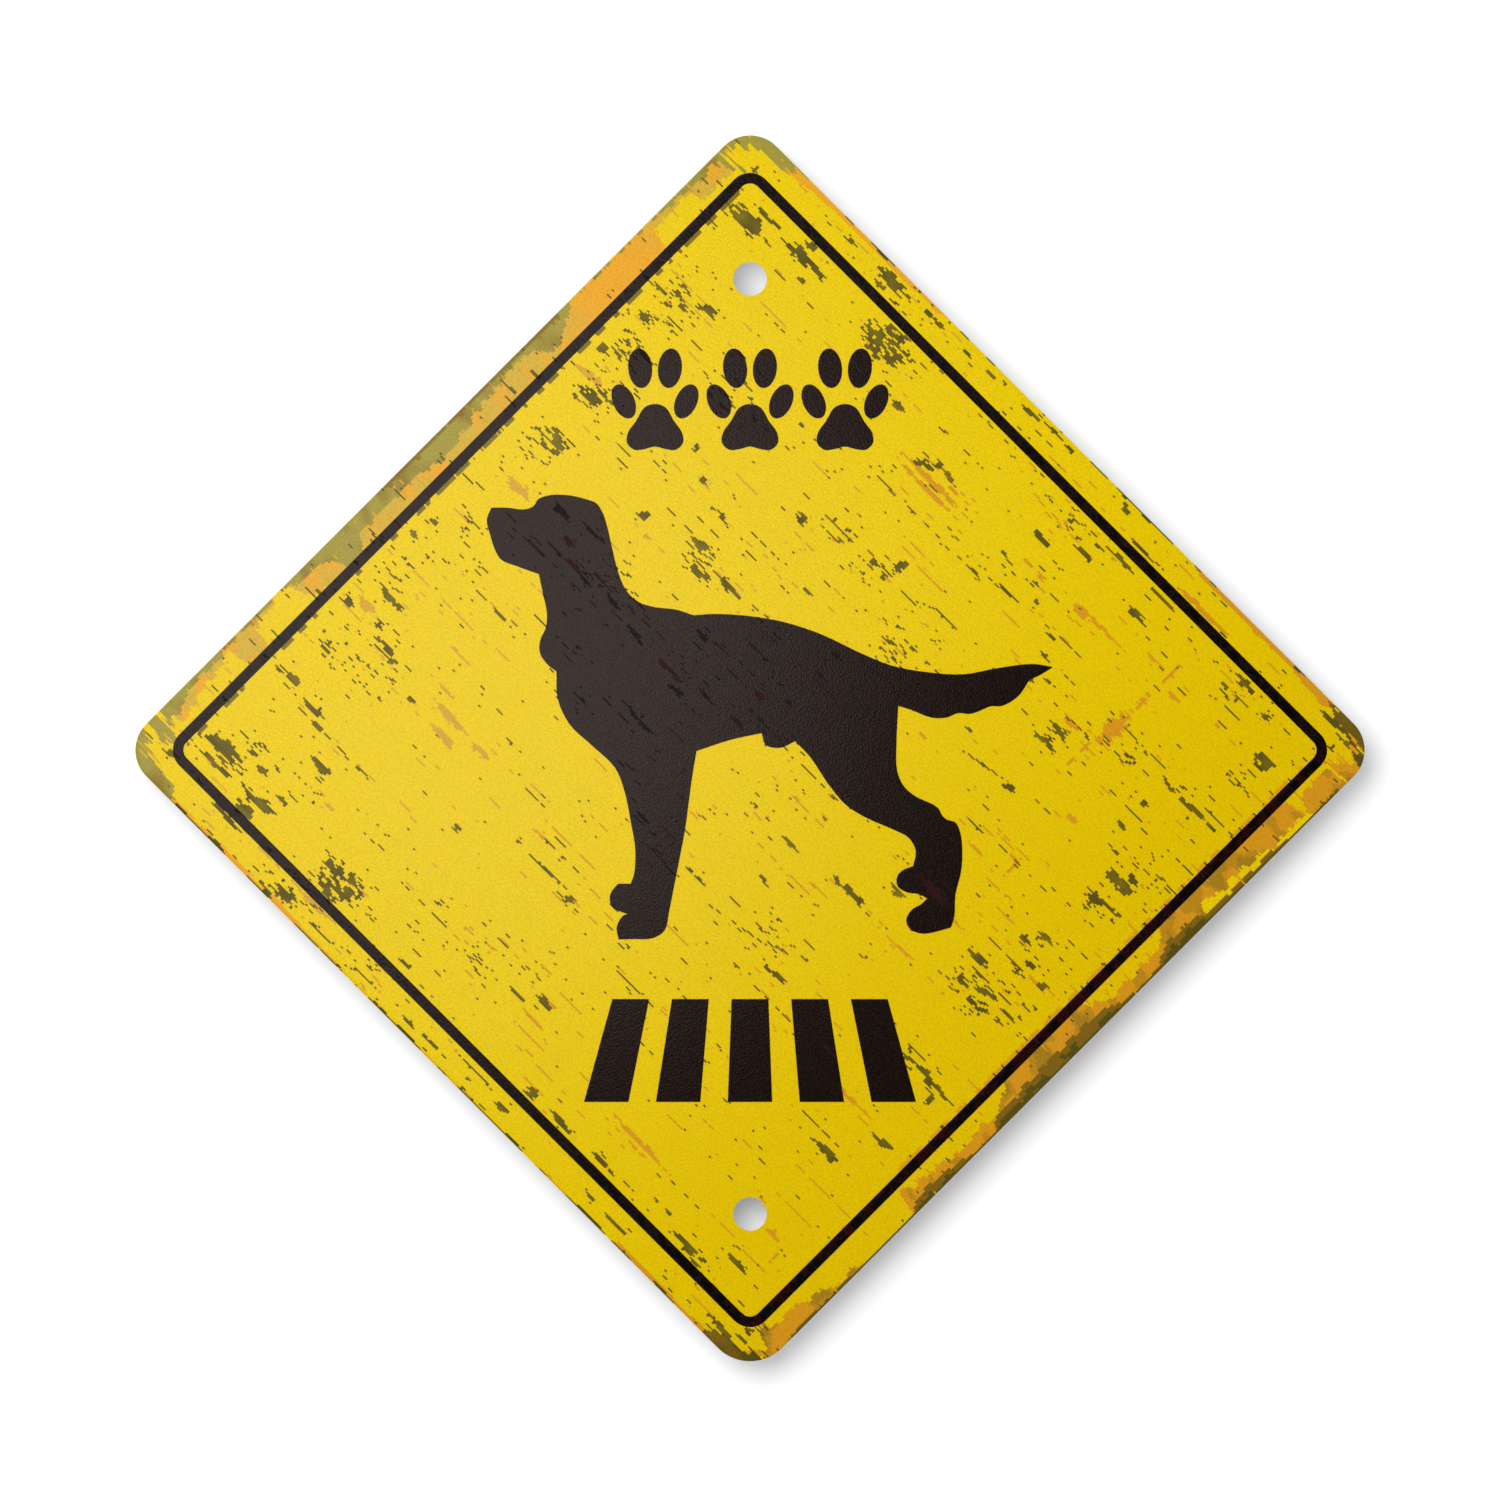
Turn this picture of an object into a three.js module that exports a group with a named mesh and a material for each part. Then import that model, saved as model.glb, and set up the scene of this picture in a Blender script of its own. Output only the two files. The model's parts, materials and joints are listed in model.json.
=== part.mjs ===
// A diamond crossing sign that hangs by one corner: a thin aluminium blank with two screw holes,
// faced with yellow film, and dressed with black film. The black pieces are a border line, a standing
// dog, a row of paw prints above it and the bars of a zebra crossing below it.
// Millimetres, +Z up. The sign faces -Y. The origin is the middle of the blank's rear face.
import * as THREE from 'three';

// The blank, a square stood on its corner. Its lowest corner is rounded a little more than the others.
const signSide = 304.8;
const cornerRadius = 12.7;
const lowerCornerRadius = 15.5;
const sheetThickness = 1.0;

// The two screw holes, on the vertical diagonal. Each is set in from the two edges nearest to it.
const holeDiameter = 11.5;
const upperHoleInset = 38.5;
const lowerHoleInset = 40.2;

// The films.
const faceFilmThickness = 0.15;
const markFilmThickness = 0.1;

// The border line, set in from the edge of the blank.
const borderInset = 10.6;
const borderWidth = 3.6;
const borderInnerRadius = 3.9;

// The dog fills the panel between two margins, from the border's left and right inner corners.
// Its rise is how far its middle stands above the middle of the sign.
const noseMargin = 105.2;
const tailMargin = 91.8;
const dogRise = 11.1;
const dogHeightShare = 0.788;

// The paw prints, in a row above the dog. The outer toes' middles stand a little outside the pad, and
// their lower ends a little below its top.
const pawCount = 3;
const pawGap = 3.7;
const pawRowGap = 14.7;
const padWidth = 19.6;
const padHeight = 16.2;
const innerToeLength = 13.6;
const innerToeWidth = 8.2;
const innerToeGap = 2.0;
const innerToeRise = 5.4;
const outerToeLength = 12.4;
const outerToeWidth = 7.4;
const outerToeOverhang = 0.9;
const outerToeDip = 4.8;

// The zebra crossing, below the dog. Its bars are narrower and closer at their far ends.
const barCount = 5;
const crossingGap = 19.9;
const barLength = 35.2;
const nearBarWidth = 15.2;
const nearBarGap = 9.4;
const farBarWidth = 12.6;
const farBarGap = 7.8;

// Angles and the fineness of the round stretches.
const fullTurn = Math.PI * 2;
const quarterTurn = fullTurn / 4;
const outerToeTilt = 0.42;
const innerToeTilt = 0.1;
const cornerSteps = 10;
const holeSteps = 40;
const padSteps = 42;
const toeSteps = 28;
const curveStepsPerPoint = 4;

// Colours and finishes.
const bareAluminium = { color: 0xb9bbbd, roughness: 0.38, metalness: 1.0 };
const yellowFilm = { color: 0xe3c31c, roughness: 0.42, metalness: 0.0 };
const blackFilm = { color: 0x2f2622, roughness: 0.4, metalness: 0.0 };

const sign = new THREE.Group();

// Each sheet is drawn in its own XY plane and stood up, so that its thickness runs towards -Y.
const upright = new THREE.Group();
upright.rotation.x = quarterTurn;
sign.add(upright);

function addSheet(name, shape, rear, thickness, finish) {
  const geometry = new THREE.ExtrudeGeometry(shape, { depth: thickness, bevelEnabled: false });
  geometry.translate(0, 0, rear);
  const mesh = new THREE.Mesh(geometry, new THREE.MeshStandardMaterial(finish));
  mesh.name = name;
  upright.add(mesh);
}

// A square on its corner with rounded corners, given as the radius of the right, top, left and lower
// corner. Each side lies one apothem from the middle.
function diamondPoints(apothem, radii) {
  const points = [];
  for (const [corner, radius] of radii.entries()) {
    const direction = corner * quarterTurn;
    const centreReach = (apothem - radius) * Math.SQRT2;
    const centre = new THREE.Vector2(centreReach, 0).rotateAround(new THREE.Vector2(), direction);
    for (let step = 0; step <= cornerSteps; step += 1) {
      const angle = direction + quarterTurn * (step / cornerSteps - 1 / 2);
      points.push(new THREE.Vector2(Math.cos(angle), Math.sin(angle)).multiplyScalar(radius).add(centre));
    }
  }
  return points;
}

function ovalPoints(width, height, steps) {
  const points = [];
  for (let step = 0; step < steps; step += 1) {
    const angle = (fullTurn * step) / steps;
    points.push(new THREE.Vector2((width / 2) * Math.cos(angle), (height / 2) * Math.sin(angle)));
  }
  return points;
}

// Places points turned by an angle, then moved.
function placed(points, turn, x, y) {
  const origin = new THREE.Vector2();
  const move = new THREE.Vector2(x, y);
  return points.map((point) => point.clone().rotateAround(origin, turn).add(move));
}

function knotsFromShares(shares, width, height) {
  return shares.map(([x, y]) => new THREE.Vector3(x * width, y * height, 0));
}

function sampledCurve(knots, closed, steps) {
  const curve = new THREE.CatmullRomCurve3(knots, closed, 'centripetal');
  return curve.getPoints(steps).slice(1).map((point) => new THREE.Vector2(point.x, point.y));
}

// Joins smooth stretches end to end. Each stretch starts where the last one ended, so a sharp corner
// stands only where two stretches meet. A stretch is a list of shares of the width and the height.
function outlineFromStretches(stretchShares, width, height) {
  const points = [];
  let last = stretchShares[stretchShares.length - 1];
  for (const stretch of stretchShares) {
    const knots = knotsFromShares([last[last.length - 1], ...stretch], width, height);
    const steps = stretch.length === 1 ? 1 : stretch.length * curveStepsPerPoint;
    points.push(...sampledCurve(knots, false, steps));
    last = stretch;
  }
  return points;
}

// The blank and the yellow film share one outline and the same two holes.
const blankApothem = signSide / 2;
const blankRadii = [cornerRadius, cornerRadius, cornerRadius, lowerCornerRadius];
const upperHoleHeight = (blankApothem - upperHoleInset) * Math.SQRT2;
const lowerHoleHeight = (lowerHoleInset - blankApothem) * Math.SQRT2;

function drilledDiamond() {
  const shape = new THREE.Shape(diamondPoints(blankApothem, blankRadii));
  const hole = ovalPoints(holeDiameter, holeDiameter, holeSteps);
  shape.holes.push(new THREE.Path(placed(hole, 0, 0, upperHoleHeight)));
  shape.holes.push(new THREE.Path(placed(hole, 0, 0, lowerHoleHeight)));
  return shape;
}

const markSeat = sheetThickness + faceFilmThickness;
addSheet('sign_blank', drilledDiamond(), 0, sheetThickness, bareAluminium);
addSheet('face_film', drilledDiamond(), sheetThickness, faceFilmThickness, yellowFilm);

function addMark(name, shape) {
  addSheet(name, shape, markSeat, markFilmThickness, blackFilm);
}

// The border line is as wide at its round corners as along its sides.
const borderApothem = blankApothem - borderInset;
const panelApothem = borderApothem - borderWidth;
const panelRadii = blankRadii.map(() => borderInnerRadius);
const borderRadii = panelRadii.map((radius) => radius + borderWidth);
const borderShape = new THREE.Shape(diamondPoints(borderApothem, borderRadii));
borderShape.holes.push(new THREE.Path(diamondPoints(panelApothem, panelRadii)));
addMark('border_line', borderShape);

// The dog's outline, as shares of its length from the nose and of its height from the soles.
// It runs over the head and back to the tail, and under the body back to the nose.
const dogStretchShares = [
  // Muzzle, brow, skull and nape.
  [
    [0.037, 0.970], [0.067, 0.966], [0.083, 0.973], [0.092, 0.989], [0.112, 0.998], [0.144, 0.998],
    [0.176, 0.989], [0.194, 0.980], [0.206, 0.957], [0.215, 0.920], [0.223, 0.875], [0.233, 0.825],
    [0.248, 0.783], [0.270, 0.758], [0.299, 0.747], [0.334, 0.742], [0.366, 0.729],
  ],
  // Back, rump and top of the tail.
  [
    [0.403, 0.732], [0.459, 0.728], [0.525, 0.714], [0.592, 0.686], [0.658, 0.646], [0.714, 0.617],
    [0.776, 0.602], [0.842, 0.597], [0.903, 0.611], [0.965, 0.620], [1.0, 0.613],
  ],
  // Underside of the tail's tip.
  [[0.974, 0.593], [0.959, 0.585]],
  // Underside of the tail, with its two soft waves.
  [
    [0.938, 0.547], [0.910, 0.526], [0.890, 0.525], [0.865, 0.512], [0.852, 0.508], [0.833, 0.510],
    [0.812, 0.500], [0.785, 0.500], [0.750, 0.517], [0.727, 0.526],
  ],
  // Back of the thigh, the hock and the hind leg.
  [
    [0.724, 0.448], [0.725, 0.382], [0.736, 0.348], [0.757, 0.324], [0.789, 0.305], [0.798, 0.296],
    [0.804, 0.282], [0.812, 0.272], [0.828, 0.265], [0.837, 0.240], [0.840, 0.199], [0.838, 0.156],
    [0.828, 0.104], [0.826, 0.055], [0.820, 0.030],
  ],
  // Sole and toes of the hind paw.
  [[0.789, 0.019], [0.770, 0.016], [0.749, 0.023]],
  [[0.741, 0.046], [0.751, 0.070], [0.766, 0.081], [0.778, 0.095]],
  // The other hind paw, in front.
  [[0.762, 0.105], [0.744, 0.108], [0.726, 0.122], [0.725, 0.144], [0.736, 0.159], [0.753, 0.167]],
  // Front of the hind leg and the thigh, up to the flank.
  [
    [0.758, 0.200], [0.746, 0.230], [0.715, 0.251], [0.673, 0.274], [0.635, 0.304], [0.603, 0.352],
    [0.572, 0.411], [0.545, 0.447],
  ],
  // Fold of the flank.
  [[0.518, 0.432], [0.493, 0.439], [0.486, 0.465]],
  // Belly.
  [[0.431, 0.450], [0.371, 0.425]],
  // Back of the foreleg, down to the sole.
  [
    [0.363, 0.364], [0.351, 0.251], [0.336, 0.151], [0.323, 0.068], [0.315, 0.024], [0.294, 0.006],
    [0.256, 0.004], [0.234, 0.003],
  ],
  // Toes of the forepaw.
  [[0.230, 0.029], [0.241, 0.056], [0.249, 0.060]],
  // Knee of the other foreleg.
  [[0.223, 0.075], [0.218, 0.100], [0.225, 0.117], [0.233, 0.128]],
  [[0.255, 0.128]],
  // Front of the foreleg and the chest.
  [
    [0.261, 0.151], [0.263, 0.204], [0.255, 0.267], [0.244, 0.335], [0.227, 0.388], [0.187, 0.437],
    [0.147, 0.485], [0.126, 0.543], [0.124, 0.603],
  ],
  // Breast and throat.
  [
    [0.108, 0.619], [0.095, 0.644], [0.095, 0.672], [0.105, 0.701], [0.107, 0.735], [0.100, 0.777],
    [0.093, 0.821],
  ],
  // Jaw, chin and nose.
  [[0.054, 0.839], [0.027, 0.853], [0.016, 0.874], [0.007, 0.909], [0.001, 0.942], [0.009, 0.970]],
];

const panelReach = panelApothem * Math.SQRT2;
const noseX = noseMargin - panelReach;
const dogLength = panelReach - tailMargin - noseX;
const dogHeight = dogLength * dogHeightShare;
const soleY = dogRise - dogHeight / 2;
const dogOutline = outlineFromStretches(dogStretchShares, dogLength, dogHeight);
addMark('dog_figure', new THREE.Shape(placed(dogOutline, 0, noseX, soleY)));

// The main pad of a paw print, as shares of its width and height from its middle: a broad base
// with three soft lobes, narrowing to a round top.
const padShares = [
  [0, 0.50], [0.19, 0.42], [0.33, 0.14], [0.47, -0.10], [0.49, -0.32], [0.36, -0.47], [0.17, -0.45],
  [0, -0.40], [-0.17, -0.45], [-0.36, -0.47], [-0.49, -0.32], [-0.47, -0.10], [-0.33, 0.14],
  [-0.19, 0.42],
];

// A paw print is one main pad and four toe pads, two on each side. It stands on y, centred on x.
const outerToeX = padWidth / 2 + outerToeOverhang;
const outerToeY = padHeight - outerToeDip + (outerToeLength / 2) * Math.cos(outerToeTilt);
const innerToeX = (innerToeWidth + innerToeGap) / 2;
const innerToeY = padHeight + innerToeRise + innerToeLength / 2;
const pawWidth = 2 * outerToeX + outerToeWidth;

function addPawPrint(name, x, y) {
  const pad = sampledCurve(knotsFromShares(padShares, padWidth, padHeight), true, padSteps);
  addMark(`${name}_pad`, new THREE.Shape(placed(pad, 0, x, y + padHeight / 2)));
  const outerToe = ovalPoints(outerToeWidth, outerToeLength, toeSteps);
  const innerToe = ovalPoints(innerToeWidth, innerToeLength, toeSteps);
  const toes = [
    ['outer_toe_left', outerToe, outerToeTilt, -outerToeX, outerToeY],
    ['inner_toe_left', innerToe, innerToeTilt, -innerToeX, innerToeY],
    ['inner_toe_right', innerToe, -innerToeTilt, innerToeX, innerToeY],
    ['outer_toe_right', outerToe, -outerToeTilt, outerToeX, outerToeY],
  ];
  for (const [toeName, outline, tilt, toeX, toeY] of toes) {
    addMark(`${name}_${toeName}`, new THREE.Shape(placed(outline, tilt, x + toeX, y + toeY)));
  }
}

for (let paw = 0; paw < pawCount; paw += 1) {
  const pawX = (paw - (pawCount - 1) / 2) * (pawWidth + pawGap);
  addPawPrint(`paw_${paw + 1}`, pawX, soleY + dogHeight + pawRowGap);
}

// A bar of the crossing runs from its far end, near the dog's feet, to its wider near end. Its place
// counts from the middle bar.
function addCrossingBar(name, place) {
  const farX = place * (farBarWidth + farBarGap);
  const farY = soleY - crossingGap;
  const nearX = place * (nearBarWidth + nearBarGap);
  const nearY = farY - barLength;
  const corners = [
    new THREE.Vector2(nearX - nearBarWidth / 2, nearY),
    new THREE.Vector2(nearX + nearBarWidth / 2, nearY),
    new THREE.Vector2(farX + farBarWidth / 2, farY),
    new THREE.Vector2(farX - farBarWidth / 2, farY),
  ];
  addMark(name, new THREE.Shape(corners));
}

for (let bar = 0; bar < barCount; bar += 1) {
  addCrossingBar(`crossing_bar_${bar + 1}`, bar - (barCount - 1) / 2);
}

export default sign;
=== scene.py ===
# %% [markdown]
# # A worn diamond crossing sign
# The real object is a 12 inch square of sheet aluminium, stood on its corner and punched with two screw
# holes. Yellow film covers its front, and the line, the dog, the paw prints and the bars are black film on
# top. The imported model already holds every sheet at its real size. This script gives the sheets the soft
# edges that a punch leaves, prints the wear on the films, paints some shade into the yellow film's colour,
# and lights the sign as a plain studio does.

# %% Load the imported model
import json
import math

import bmesh
import bpy
from mathutils import Matrix, Vector


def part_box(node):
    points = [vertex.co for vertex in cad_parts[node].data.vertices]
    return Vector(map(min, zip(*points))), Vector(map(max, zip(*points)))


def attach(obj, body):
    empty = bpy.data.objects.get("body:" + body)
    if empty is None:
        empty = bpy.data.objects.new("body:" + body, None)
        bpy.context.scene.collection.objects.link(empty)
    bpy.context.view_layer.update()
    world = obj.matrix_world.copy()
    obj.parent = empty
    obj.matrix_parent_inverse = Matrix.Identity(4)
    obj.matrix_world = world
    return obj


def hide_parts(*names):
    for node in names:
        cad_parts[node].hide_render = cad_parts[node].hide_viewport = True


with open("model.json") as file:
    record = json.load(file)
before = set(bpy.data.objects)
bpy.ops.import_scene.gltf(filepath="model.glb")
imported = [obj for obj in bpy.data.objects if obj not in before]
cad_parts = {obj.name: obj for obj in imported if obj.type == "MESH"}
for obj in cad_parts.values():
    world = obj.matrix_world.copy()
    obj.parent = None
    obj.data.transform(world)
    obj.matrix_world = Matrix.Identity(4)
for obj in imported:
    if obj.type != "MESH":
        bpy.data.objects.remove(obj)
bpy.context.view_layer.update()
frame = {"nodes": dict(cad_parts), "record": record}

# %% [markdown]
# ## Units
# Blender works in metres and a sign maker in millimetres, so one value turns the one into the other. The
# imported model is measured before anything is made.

MM = 0.001

# %% [markdown]
# ## The sizes of the sheet
# A rounded corner falls short of the sharp one by its radius times (root 2 - 1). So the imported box, with
# the radius of the three like corners, gives the sharp diamond, and the sharp diamond gives the bottom
# corner's radius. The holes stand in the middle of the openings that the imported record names.

# %% Sizes of the sheet
blank_low, blank_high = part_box("sign_blank")
CORNER_RADIUS = 12.7 * MM
HOLE_RADIUS = 5.75 * MM
corner_loss = math.sqrt(2) - 1
half_diagonal = blank_high.x + CORNER_RADIUS * corner_loss
bottom_radius = (half_diagonal + blank_low.z) / corner_loss
half_side = half_diagonal / math.sqrt(2)
hole_centres = []
for opening in frame["record"]["physics"]["openings"]:
    low, high = (Vector(corner) for corner in opening["box_m"])
    hole_centres.append((low + high) / 2)
print("side", round(2 * half_side / MM, 1), "mm, bottom corner radius", round(bottom_radius / MM, 1), "mm")

# %% [markdown]
# ## The rolled edge
# A punch press doesn't leave a knife edge. The sheet is dragged down a little where the punch enters, so
# the front rounds off over the last millimetre or two, and the film follows it. That soft edge catches the
# light at the upper left of the real sign and goes dark at the lower right. It could be a bevel modifier,
# but a bevel is as deep as it is wide. Insetting the face in a few steps, each less deep than the last,
# draws the flat quarter ellipse instead.

# %% The diamond with its rolled edge and its two holes
ROLL_WIDTH = 1.6 * MM
ROLL_DEPTH = 0.28 * MM
ROLL_STEPS = 5
CORNER_STEPS = 18
ROUND = 0.5
HOLE_STEPS = 64
STAND_UP = Matrix.Rotation(math.radians(90), 4, "X")


def rounded_diamond(sheet):
    square = bmesh.ops.create_circle(sheet, segments=4, radius=half_diagonal, matrix=STAND_UP)
    for corner in square["verts"]:
        is_bottom = corner.co.z < -half_side
        radius = bottom_radius if is_bottom else CORNER_RADIUS
        bmesh.ops.bevel(sheet, geom=[corner], offset=radius, offset_type="OFFSET", affect="VERTICES",
                        segments=CORNER_STEPS, profile=ROUND, material=-1)
    face = bmesh.ops.contextual_create(sheet, geom=sheet.edges[:])["faces"][0]
    face.normal_update()
    if face.normal.y > 0:
        bmesh.ops.reverse_faces(sheet, faces=[face])
    return face


def roll_the_rim(sheet, face):
    turns = [math.radians(90) * step / ROLL_STEPS for step in range(ROLL_STEPS + 1)]
    for outer, inner in zip(turns, turns[1:]):
        bmesh.ops.inset_region(sheet, faces=[face], use_boundary=True, use_even_offset=True,
                               thickness=ROLL_WIDTH * (math.cos(outer) - math.cos(inner)),
                               depth=ROLL_DEPTH * (math.sin(inner) - math.sin(outer)))


def punch_holes(sheet, face):
    rim = list(face.edges)
    level = face.verts[0].co.y
    bmesh.ops.delete(sheet, geom=[face], context="FACES_ONLY")
    for centre in hole_centres:
        place = Matrix.Translation((centre.x, level, centre.z)) @ STAND_UP
        circle = bmesh.ops.create_circle(sheet, segments=HOLE_STEPS, radius=HOLE_RADIUS, matrix=place)
        rim += list({edge for vert in circle["verts"] for edge in vert.link_edges})
    bmesh.ops.triangle_fill(sheet, use_beauty=True, edges=rim, normal=(0, -1, 0))


def rolled_front(level):
    sheet = bmesh.new()
    face = rounded_diamond(sheet)
    bmesh.ops.translate(sheet, verts=sheet.verts, vec=(0, level + ROLL_DEPTH, 0))
    roll_the_rim(sheet, face)
    punch_holes(sheet, face)
    return sheet


def thickened_front():
    """The rolled front with a second layer grown from it, and the points of that layer."""
    sheet = rolled_front(blank_low.y)
    grown = bmesh.ops.extrude_face_region(sheet, geom=sheet.faces[:])["geom"]
    return sheet, [part for part in grown if isinstance(part, bmesh.types.BMVert)]


trial = rolled_front(blank_low.y)
tip = max(vert.co.x for vert in trial.verts)
print("rolled front:", len(trial.verts), "points, tip at", round(tip / MM, 2), "mm")
trial.free()

# %% [markdown]
# ## From a bmesh to an object
# Sheets, lamps and the camera all enter the scene the same way: Blender keeps the data apart from the
# object that shows it, and the object has to be linked into a collection. Two small functions do that for
# every one of them.

# %% Putting things into the scene
def put_in_scene(name, data):
    placed = bpy.data.objects.new(name, data)
    bpy.context.scene.collection.objects.link(placed)
    return placed


def object_from(sheet, name, material):
    """The bmesh as an object in the scene, made of one material."""
    mesh = bpy.data.meshes.new(name)
    sheet.to_mesh(mesh)
    sheet.free()
    mesh.materials.append(material)
    return put_in_scene(name, mesh)


# %% [markdown]
# ## From a bmesh to a finished piece
# Every piece here ends the same way. Its faces are turned outwards, the flat faces keep their own normals
# while the rounded ones shade smoothly, it is tied to the sign's one body, and the CAD node that it stands
# for is hidden. One function does that, so no piece can miss a step.

# %% Finishing a piece
FLAT = 0.99999
SHARP_TURN = math.radians(40)


def is_flat(face):
    return abs(face.normal.y) > FLAT


def shade(sheet):
    bmesh.ops.recalc_face_normals(sheet, faces=sheet.faces)
    sheet.normal_update()
    for face in sheet.faces:
        face.smooth = True
    for edge in sheet.edges:
        flats = [is_flat(face) for face in edge.link_faces]
        edge.smooth = flats[0] == flats[-1] and edge.calc_face_angle(0) < SHARP_TURN


def finish_piece(sheet, name, stands_for, material):
    shade(sheet)
    open_edges = sum(1 for edge in sheet.edges if not edge.is_manifold)
    piece = object_from(sheet, name, material)
    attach(piece, "root")
    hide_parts(stands_for)
    print(name, "has", len(piece.data.polygons), "faces and", open_edges, "open edges")


# %% [markdown]
# ## Writing a material as sums
# A procedural material is arithmetic on a place, so it reads best as arithmetic. A Wire stands for one
# output of one node. Adding, multiplying or comparing Wires adds the Math nodes that do it. Every other
# kind of node comes from one method, which sets the node's settings first and its sockets after. Noise lies
# about a half, so swing moves it to lie about zero.

# %% The wire and the finish
MIDDLE = 0.5


class Wire:
    def __init__(self, finish, socket):
        self.finish = finish
        self.socket = socket

    def sum(self, operation, first, second):
        return self.finish.node("Math", {"operation": operation}, {0: first, 1: second})

    def __add__(self, other):
        return self.sum("ADD", self, other)

    def __radd__(self, other):
        return self.sum("ADD", other, self)

    def __sub__(self, other):
        return self.sum("SUBTRACT", self, other)

    def __rsub__(self, other):
        return self.sum("SUBTRACT", other, self)

    def __mul__(self, other):
        return self.sum("MULTIPLY", self, other)

    def __rmul__(self, other):
        return self.sum("MULTIPLY", other, self)

    def __truediv__(self, other):
        return self.sum("DIVIDE", self, other)

    def __rtruediv__(self, other):
        return self.sum("DIVIDE", other, self)

    def __lt__(self, other):
        return self.sum("LESS_THAN", self, other)

    def __gt__(self, other):
        return self.sum("GREATER_THAN", self, other)

    def __or__(self, other):
        return self.sum("MAXIMUM", self, other)

    def __and__(self, other):
        return self.sum("MINIMUM", self, other)

    __ror__ = __or__
    __rand__ = __and__

    def __abs__(self):
        return self.sum("ABSOLUTE", self, 0)

    def swing(self, size, middle=MIDDLE):
        """Noise moved to lie about zero, and made larger or smaller."""
        return (self - middle) * size


class Finish:
    def __init__(self, name, **constants):
        self.material = bpy.data.materials.new(name)
        self.material.use_nodes = True
        self.tree = self.material.node_tree
        self.shader = self.tree.nodes["Principled BSDF"]
        for socket, value in constants.items():
            self.shader.inputs[socket.replace("_", " ")].default_value = value

    def node(self, kind, settings=None, sockets=None, output=0):
        made = self.tree.nodes.new("ShaderNode" + kind)
        for setting, value in (settings or {}).items():
            if setting == "stops":
                self.draw_curve(made.mapping, value)
            else:
                setattr(made, setting, value)
        for socket, value in (sockets or {}).items():
            self.plug(made.inputs[socket], value)
        return Wire(self, made.outputs[output])

    def plug(self, socket, value):
        if isinstance(value, Wire):
            self.tree.links.new(value.socket, socket)
        else:
            socket.default_value = value

    def draw_curve(self, mapping, stops):
        points = mapping.curves[0].points
        points[0].location, points[-1].location = stops[0], stops[-1]
        for place, level in stops[1:-1]:
            points.new(place, level)
        for point in points:
            point.handle_type = "VECTOR"
        mapping.update()

    def set(self, socket, value):
        self.plug(self.shader.inputs[socket], value)

    def mix(self, mask, under, over):
        return self.node("Mix", {"data_type": "RGBA"}, {0: mask, 6: under, 7: over}, output=2)


# %% [markdown]
# ## The grid of the print
# The worn look of this sign is itself printed. The picture of wear was a coarse one, laid square with the
# sign's sides, and its cells are twice as long as they are tall. So every chip is built of little flat
# steps that follow the sign's sides and not the horizon. Two lengths place a point: along, from the upper
# left side towards the lower right, and up, from the lower left side towards the upper right. Snapping both
# to a cell before any noise reads them gives the steps for nothing. A Mapping node lays the upright face
# down, turns it by 45 degrees and counts in millimetres.

# %% Places on the sign's own grid
CELL_ALONG = 1.05
CELL_UP = 0.58
HALF = half_side / MM
SEED_STEP = (7.3, -4.1, 1.0)
print("the print has", round(2 * HALF / CELL_ALONG), "by", round(2 * HALF / CELL_UP), "cells")


class Face:
    """Two lengths in mm for every point: place as it is, and cells snapped to the print's cells."""

    def __init__(self, finish):
        self.finish = finish
        here = finish.node("TexCoord", output=3)
        turn = (math.radians(-90), 0, math.radians(45))
        in_mm = (1 / MM, 1 / MM, 1 / MM)
        cell = (CELL_ALONG, CELL_UP, 0)
        self.place = finish.node("Mapping", {"vector_type": "POINT"}, {0: here, 2: turn, 3: in_mm})
        self.cells = finish.node("VectorMath", {"operation": "SNAP"}, {0: self.place, 1: cell})
        self.along, self.up = self.parts(self.cells)
        self.true_along = self.parts(self.place)[0]

    def parts(self, place):
        outputs = self.finish.node("SeparateXYZ", sockets={0: place}).socket.node.outputs
        return [Wire(self.finish, output) for output in outputs[:2]]

    def noise(self, length, height, seed, detail=1.0, roughness=0.5, lean=0.0, fine=False):
        """Noise with grains of length by height mm, leaning by some degrees, in cells unless it is fine."""
        here = self.place if fine else self.cells
        shift = tuple(step * seed for step in SEED_STEP)
        turn = (0, 0, math.radians(lean))
        place = self.finish.node("Mapping", {"vector_type": "TEXTURE"},
                                 {0: here, 1: shift, 2: turn, 3: (length, height, 1)})
        return self.finish.node("TexNoise", {"noise_dimensions": "3D"},
                                {"Vector": place, "Scale": 1.0, "Detail": detail, "Roughness": roughness})
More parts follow.
